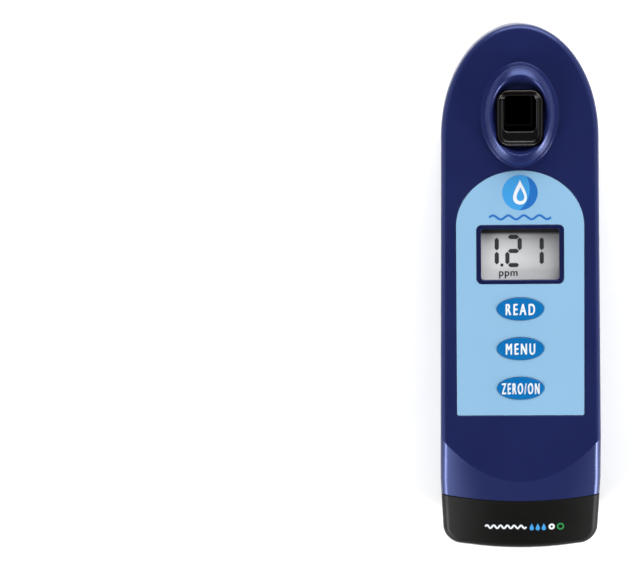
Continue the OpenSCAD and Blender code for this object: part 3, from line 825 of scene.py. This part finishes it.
def make_key(node):
    """A key with its hidden flange, a rolled edge and a slightly crowned top."""
    low, high = node_box(node)
    a, b = KEY_HALF
    # how far each ring stands out from the key's outline, and its height
    steps = [(0.7, low.z), (0.7, low.z + 0.18), (0.0, low.z + 0.18), (0.0, high.z - 0.34),
             (-0.04, high.z - 0.22), (-0.14, high.z - 0.14), (-0.34, high.z - 0.09),
             (-0.9, high.z - 0.055), (-1.8, high.z - 0.03), (-3.0, high.z - 0.005)]
    rings = [[(*point, z) for point in oval(a + out, max(b + out, 0.4), 128, 0, middle_y(node))]
             for out, z in steps]
    key = smooth(loft(node + "_cap", rings), 45)
    return finish_piece(key, node, KEY, "key", node)


def make_dome(node):
    """A thin snap dome under a key."""
    low, high = node_box(node)
    r = (high.x - low.x) / 2
    rim, height = 0.1, high.z - low.z
    shares = [k / 12 for k in range(13)]
    under = [((r - 0.15) * s, (height - DOME_METAL) * (1 - s ** DOME_CURVE)) for s in shares]
    over = [(r * s, rim + (height - rim) * (1 - s ** DOME_CURVE)) for s in reversed(shares)]
    dome = lathe(node + "_shell", under + [(r, 0)] + over)
    foot = ((low.x + high.x) / 2, middle_y(node), low.z)
    shifted(dome, *foot)
    smooth(dome, 45)
    finish_piece(dome, "body", BRIGHT, "dome", node)
    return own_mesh(dome)


def flat_piece(name, outlines, z0, z1, holes=()):
    """Thin printed shapes: a prism over each outline, less a prism over each hole."""
    whole = None
    for points in outlines:
        part = prism(name, points, z0, z1)
        whole = part if whole is None else join_objects(whole, part)
    for points in holes:
        cut(whole, prism("hole", points, z0 - 1, z1 + 1))
    whole.name = name
    return whole


def join_objects(first, second):
    """Two meshes in one object, without a boolean."""
    bm = bmesh.new()
    bm.from_mesh(first.data)
    bm.from_mesh(second.data)
    bm.to_mesh(first.data)
    bm.free()
    bpy.data.objects.remove(second)
    return first


def lettering(name, text, height, width, cx, cy, z, thick, spread):
    """Text as a thin mesh, scaled to a cap height and an overall width, centred at a place."""
    curve = bpy.data.curves.new(name, "FONT")
    curve.body = text
    curve.size = 10.0
    curve.extrude = 0.5
    curve.space_character = spread
    curve.resolution_u = 6
    source = new_object(name + "_text", curve)
    bpy.context.view_layer.update()
    mesh = bpy.data.meshes.new_from_object(
        source.evaluated_get(bpy.context.evaluated_depsgraph_get()))
    bpy.data.objects.remove(source)
    points = [v.co.copy() for v in mesh.vertices]
    low = Vector(min(p[i] for p in points) for i in range(3))
    high = Vector(max(p[i] for p in points) for i in range(3))
    size = high - low
    scale = Matrix.Diagonal((width / size.x, height / size.y, thick / size.z, 1))
    mesh.transform(Matrix.Translation(-(low + high) / 2))
    mesh.transform(scale)
    mesh.transform(Matrix.Translation((cx, cy, z + thick / 2)))
    mesh.transform(Matrix.Scale(MM, 4))
    bm = bmesh.new()
    bm.from_mesh(mesh)
    bmesh.ops.remove_doubles(bm, verts=bm.verts, dist=1e-7)
    bm.to_mesh(mesh)
    bm.free()
    return new_object(name, mesh)


def bold_lettering(name, text, height, width, cx, cy, z, thick, spread, extra):
    """Lettering made bolder: two copies, shifted a little apart, united."""
    whole = None
    for dx, dy in ((-1, -0.6), (1, 0.6)):
        copy = lettering(name, text, height - 1.2 * extra, width - 2 * extra, cx + dx * extra,
                         cy + dy * extra, z, thick, spread)
        whole = copy if whole is None else join_solid(whole, copy)
    return whole


def make_legends():
    """The word printed on each key."""
    for node, text in KEYS.items():
        y = middle_y(node) - 0.1
        z = node_box(node)[1].z - 0.045
        legend = bold_lettering("legend_" + node, text, LEGEND_HEIGHT, LEGEND_WIDTHS[node], 0, y, z,
                                0.06, 1.45, 0.12)
        finish_piece(legend, node, INK_WHITE, "key")


def band(path, half):
    """An outline that follows a path at a distance on both sides."""
    left, right = [], []
    for i, (x, y) in enumerate(path):
        x0, y0 = path[max(i - 1, 0)]
        x1, y1 = path[min(i + 1, len(path) - 1)]
        length = math.hypot(x1 - x0, y1 - y0)
        nx, ny = -(y1 - y0) / length, (x1 - x0) / length
        left.append((x + nx * half, y + ny * half))
        right.append((x - nx * half, y - ny * half))
    return right + left[::-1]


def wave(x0, x1, y, rise, periods, half, steps=72):
    """The outline of a wavy line from x0 to x1."""
    path = [(x0 + (x1 - x0) * i / steps, y + rise * math.sin(2 * math.pi * periods * i / steps))
            for i in range(steps + 1)]
    return band(path, half)


def droplet(cx, cy, r):
    """A water drop: a round foot that narrows to a point."""
    turns = [2 * math.pi * i / 48 for i in range(48)]
    points = [(cx + r * math.sin(t) * math.sin(t / 2) ** 1.6, cy + 1.25 * r * math.cos(t)) for t in turns]
    return points[::-1]


def make_badge():
    """A plain round badge with a drop, and a wave line under it."""
    top = OVERLAY_HIGH.z
    cy, r = BADGE_Y, BADGE_R
    disc = flat_piece("badge_disc", [oval(r, r, 96, 0, cy)], top - 0.02, top + 0.02)
    finish_piece(disc, "body", INK_SKY, "overlay")
    shade = prism("badge_shade", oval(r - 0.02, r - 0.02, 96, 0, cy), top, top + 0.03)
    cut(shade, prism("half", oval(r * 1.5, r * 1.5, 96, -r * 0.95, cy + r * 0.2), top - 1, top + 1))
    finish_piece(shade, "body", INK_BLUE, "overlay")
    drop = flat_piece("badge_drop", [droplet(0, cy + 0.15, 3.1)], top, top + 0.045,
                      [droplet(0.15, cy - 0.45, 1.75)])
    finish_piece(drop, "body", INK_WHITE, "overlay")
    outline = wave(-9.6, 9.6, WAVE_Y, 0.62, 4, 0.34)
    line = flat_piece("wave_line", [outline], top - 0.02, top + 0.02)
    finish_piece(line, "body", INK_BLUE, "overlay")


def make_bezel():
    """The frame round the display."""
    z0, z1 = BEZEL_LOW.z, BEZEL_HIGH.z
    outline = rounded_rect(DISPLAY[0] + 2.8, DISPLAY[1] + 2.4, 1.6, 10, DISPLAY_Y)
    bezel = prism("display_frame", outline, z0, z1)
    cut(bezel, prism("opening", rounded_rect(*DISPLAY, 0.8, 8, DISPLAY_Y), *THROUGH_FILM))
    soften(bezel, 0.28, 4, lambda x, y, z: z > z1 - 0.01, 60)
    smooth(bezel)
    return finish_piece(bezel, "body", FRAME_NAVY, "bezel", "display_bezel")


# The seven strokes of a digit as (x, y, is_upright), in units of half the digit's width and height.
STROKES = {"top": (0, 1, False), "middle": (0, 0, False), "bottom": (0, -1, False),
           "upper_left": (-1, 0.5, True), "upper_right": (1, 0.5, True),
           "lower_left": (-1, -0.5, True), "lower_right": (1, -0.5, True)}
SHAPES = {"1": ("upper_right", "lower_right"),
          "2": ("top", "upper_right", "middle", "lower_left", "bottom")}
DIGIT_HALF = (1.92, 4.42)  # half a digit's width and height
STROKE_HALF = 0.66  # half a stroke's thickness
STROKE_GAP = 0.18  # from a stroke's tip to the digit's corner
READING = [("1", -9.15), ("2", -2.0), ("1", 4.85)]
POINT_X = -5.65


def stroke(cx, cy, upright):
    """One stroke of a digit, with pointed ends."""
    t = STROKE_HALF
    length = (DIGIT_HALF[1] / 2 if upright else DIGIT_HALF[0]) - STROKE_GAP
    outline = [(-length, 0), (-length + t, -t), (length - t, -t), (length, 0), (length - t, t),
               (-length + t, t)]
    if upright:
        outline = [(-y, x) for x, y in outline]
    return [(cx + x, cy + y) for x, y in outline]


def make_display():
    """The reading on the display: generic digits and their unit."""
    face = node_box("lcd_panel")[1].z
    half_w, half_h = DIGIT_HALF
    y = DISPLAY_Y + 0.85
    outlines = []
    for digit, x in READING:
        for name in SHAPES[digit]:
            across, along, upright = STROKES[name]
            outlines.append(stroke(x + across * half_w, y + along * half_h, upright))
    outlines.append(rounded_rect(0.95, 0.95, 0.3, 4, y - half_h + 0.05, POINT_X))
    digits = flat_piece("display_digits", outlines, face - 0.01, face + 0.02)
    finish_piece(digits, "body", INK_DARK, "lcd")
    y = DISPLAY_Y - 6.6
    unit = bold_lettering("display_unit", "ppm", 2.3, 5.8, -3.65, y, face - 0.01, 0.03, 1.1, 0.07)
    finish_piece(unit, "body", INK_DARK, "lcd")


# ---------- print on the cap ----------

CAP_MARKS_Y = -75.6


def drape(obj):
    """Lays a thin flat piece on the sloping front."""
    for vertex in obj.data.vertices:
        x, y, z = vertex.co / MM
        vertex.co.z = (front_height(x, y) + z) * MM
    return obj


def make_cap_marks():
    """Plain marks in place of the cap's print: a wave line, three drops, a dot and a ring."""
    y = CAP_MARKS_Y
    pieces = [("cap_wave", [wave(-11.2, 1.7, y, 0.5, 6, 0.28, 144)], INK_WHITE, ()),
              ("cap_drops", [droplet(x, y, 0.95) for x in (3.5, 5.4, 7.3)], INK_SKY, ()),
              ("cap_dot", [oval(1.0, 1.0, 48, 9.8, y)], INK_WHITE, [oval(0.38, 0.38, 32, 9.8, y)]),
              ("cap_ring", [oval(1.15, 1.15, 48, 12.6, y)], INK_GREEN, [oval(0.68, 0.68, 32, 12.6, y)])]
    for name, outlines, ink, holes in pieces:
        mark = drape(flat_piece(name, outlines, -0.03, 0.03, holes))
        finish_piece(mark, "battery_cap", ink, "cap")


# ---------- screws, springs, cells ----------

def cross_recess(z0, z1):
    """Two crossed slots between two heights."""
    reach, half = 1.35, 0.32
    first = box_object("slot", (-reach, -half, z0), (reach, half, z1))
    second = box_object("slot", (-half, -reach, z0), (half, reach, z1))
    return join_solid(first, second)


def make_case_screws():
    """Pan heads with a cross recess, seen down the counterbores in the back."""
    profile = [(0, 3.5), (1.9, 3.52), (2.3, 3.7), (2.5, 4.05), (2.5, 5.4), (2.42, 5.5), (1.35, 5.5),
               (1.35, 27.6), (1.0, 28), (0, 28)]
    whole = None
    for x, y in CASE_SCREWS:
        screw = lathe("screw", profile, 48)
        cut(screw, cross_recess(3.0, 4.6))
        shifted(screw, x, y)
        whole = screw if whole is None else join_objects(whole, screw)
    whole.name = "case_screws"
    smooth(whole, 30)
    return finish_piece(whole, "body", STEEL, "screw", "housing_screws")


def make_cap_screw(node, side):
    """A captive screw with a slotted head, along Y."""
    low, high = node_box(node)
    length = high.y - low.y
    profile = [(0, 0), (2.05, 0.02), (2.4, 0.16), (2.6, 0.45), (2.6, 2.3), (2.5, 2.4), (1.5, 2.4),
               (1.5, length - 0.5), (1.1, length), (0, length)]
    screw = lathe(node + "_detail", profile)
    cut(screw, box_object("slot", (-3, -0.4, -1), (3, 0.4, 1.05)))
    transform(screw, Matrix.Rotation(math.radians(-90), 4, "X"))
    shifted(screw, side * CAP_SCREW[0], low.y, CAP_SCREW[1])
    smooth(screw, 30)
    return finish_piece(screw, node, STEEL, "cap_screw", node)


def helix(turns, r0, r1, rise, wire):
    """Rings of a wire along a conical helix about Z."""
    rings = []
    around = 10
    total = int(turns * 40)
    for i in range(total + 1):
        s = i / total
        a = 2 * math.pi * turns * s
        r = r0 + (r1 - r0) * s
        centre = Vector((r * math.cos(a), r * math.sin(a), wire + (rise - 2 * wire) * s))
        out = Vector((math.cos(a), math.sin(a), 0))
        rings.append([centre + wire * (math.cos(b) * out + math.sin(b) * Vector((0, 0, 1)))
                      for b in (2 * math.pi * k / around for k in range(around))])
    return rings


def make_springs():
    """A conical contact spring at one end of each cell."""
    low, high = node_box("battery_springs")
    apart, middle, rise = 5.75, 15.0, 5.45
    whole = None
    for side, level, at_low in ((-1, 1, True), (1, -1, True), (-1, -1, False), (1, 1, False)):
        coil = loft("coil", helix(2.6, 3.4, 1.9, 2.35, 0.3))
        transform(coil, Matrix.Rotation(math.radians(-90 if at_low else 90), 4, "X"))
        y = low.y + 0.02 if at_low else high.y - 0.02
        shifted(coil, side * apart, y, middle + level * rise)
        whole = coil if whole is None else join_objects(whole, coil)
    whole.name = "contact_springs"
    smooth(whole, 60)
    return finish_piece(whole, "battery_cap", BRIGHT, "spring", "battery_springs")


# Whether each cell's raised end points to the head end.
CELLS = {"cell_1": True, "cell_2": False, "cell_3": False, "cell_4": True}


def make_battery(node, points_up):
    """A cell: rolled edges, a sleeve, and a raised end."""
    low, high = node_box(node)
    r = (high.x - low.x) / 2
    length = high.y - low.y
    body = length - 1.0
    profile = [(0, 0.12), (r - 1.2, 0.12), (r - 0.9, 0), (r - 0.25, 0.05), (r, 0.35), (r, body - 0.35),
               (r - 0.25, body - 0.05), (r - 0.9, body), (r - 1.3, body - 0.15), (2.3, body - 0.15),
               (1.95, body + 0.05), (1.9, length - 0.2), (1.7, length), (0, length)]
    cell = lathe(node + "_can", profile, 72)
    transform(cell, Matrix.Rotation(math.radians(-90 if points_up else 90), 4, "X"))
    shifted(cell, (low.x + high.x) / 2, low.y if points_up else high.y, (low.z + high.z) / 2)
    smooth(cell, 30)
    sleeve = SLEEVE_UP if points_up else SLEEVE_DOWN
    return finish_piece(cell, "battery_cap", sleeve, "battery", node)


# ---------- parts that keep their CAD shape ----------

KEPT = {
    "housing_gasket": RUBBER, "rear_label": LABEL, "keypad_spacer": SPACER, "keypad_circuit": FLEX,
    "display_window": WINDOW, "lcd_panel": GLASS, "lcd_holder": DARK, "lcd_connectors": ZEBRA,
    "main_board": BOARD, "board_screws": STEEL, "microcontroller": CHIP, "board_components": CHIP,
    "battery_connector": CREAM, "battery_bay": DARK, "cap_inserts": BRASS, "cell_seal": RUBBER,
    "optics_block": OPTICS, "led_board": BOARD, "led_lamps": LAMP, "optical_filter": FILTER,
    "photodiode": CAN, "sensor_board": BOARD, "sensor_ribbon": FLEX, "cap_seal": RED_RUBBER,
    "battery_tray": DARK, "battery_contacts": NICKEL,
}


def dress_kept():
    """Gives the CAD nodes that are shown as they are their materials."""
    for node, material in KEPT.items():
        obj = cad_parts[node]
        obj.data.materials.clear()
        obj.data.materials.append(material)


# ---------- camera, light, floor ----------

CAMERA_AT = Vector((-19.86, 97.0, 862.3))
CAMERA_AIM = Vector((-62.94, 0.35, 25.0))
CAMERA_ROLL = math.radians(-0.351)
CAMERA_LENS = 150.2

# Each lamp: name, place and aim in metres, width and height in metres, power in watts.
LIGHTS = [("head_softbox", (0.14, 1.00, 0.50), (0, 0.03, 0.03), (1.24, 0.6), 22.5),
          ("left_softbox", (-0.75, -0.70, 0.39), (0, -0.06, 0.03), (0.40, 0.42), 15.0),
          ("right_softbox", (0.86, -0.58, 0.27), (0, -0.06, 0.03), (0.32, 0.36), 14.5),
          ("low_fill", (0.10, -1.05, 1.05), (0, 0.0, 0.03), (0.9, 0.7), 0.6),
          ("left_fill", (-1.05, 0.00, 0.62), (0, 0.0, 0.03), (1.2, 0.8), 4.4),
          ("right_fill", (1.05, 0.30, 0.80), (0, 0.0, 0.03), (1.0, 0.9), 3.2)]


def make_camera():
    """The camera, turned to its aim and rolled a little."""
    data = bpy.data.cameras.new("camera")
    data.lens = CAMERA_LENS
    data.sensor_width = 36.0
    data.clip_start = 0.05
    camera = new_object("camera", data)
    back = (CAMERA_AT - CAMERA_AIM).normalized()
    right = Vector((math.cos(CAMERA_ROLL), math.sin(CAMERA_ROLL), 0))
    up = back.cross(right).normalized()
    right = up.cross(back)
    turn = Matrix((right, up, back)).transposed().to_4x4()
    camera.matrix_world = Matrix.Translation(CAMERA_AT * MM) @ turn
    bpy.context.scene.camera = camera


def make_light(name, place, aim, size, power):
    """A soft rectangular lamp, turned to its aim."""
    data = bpy.data.lights.new(name, "AREA")
    data.shape = "RECTANGLE"
    data.size, data.size_y = size
    data.energy = power
    light = new_object(name, data)
    light.location = place
    light.rotation_mode = "QUATERNION"
    light.rotation_quaternion = (Vector(aim) - Vector(place)).to_track_quat("-Z", "Y")


def make_stage():
    """A pale paper floor, a dim pale sky and the soft lamps."""
    floor = box_object("floor", (-3000, -3000, -20), (3000, 3000, -0.02))
    nodes = Nodes("floor_paper")
    grain = nodes.noise(60.0, 4.0, 0.6)
    nodes.feed("Base Color", nodes.colours(grain, [(0.3, (0.94, 0.94, 0.94)), (0.7, (0.97, 0.97, 0.97))]))
    nodes.feed("Roughness", nodes.remap(grain, 0.85, 0.95))
    floor.data.materials.append(nodes.material)
    world = bpy.data.worlds.new("studio")
    world.use_nodes = True
    sky = world.node_tree.nodes["Background"]
    sky.inputs["Color"].default_value = (0.92, 0.95, 1.0, 1)
    sky.inputs["Strength"].default_value = 0.14
    bpy.context.scene.world = world
    for light in LIGHTS:
        make_light(*light)
    bpy.context.scene.view_settings.view_transform = "Standard"


# ---------- build ----------

make_camera()
make_stage()
dress_kept()
outside = outer_form()
make_front(outside)
make_back(outside)
make_cap(outside)
bpy.data.objects.remove(outside)
make_cup()
make_overlay()
for key_node in KEYS:
    make_key(key_node)
for dome_node, key_joint in DOMES.items():
    make_dome(dome_node)
make_legends()
make_badge()
make_bezel()
make_display()
make_cap_marks()
make_case_screws()
make_cap_screw("cap_screw_left", -1)
make_cap_screw("cap_screw_right", 1)
make_springs()
for battery_node, raised_end_up in CELLS.items():
    make_battery(battery_node, raised_end_up)
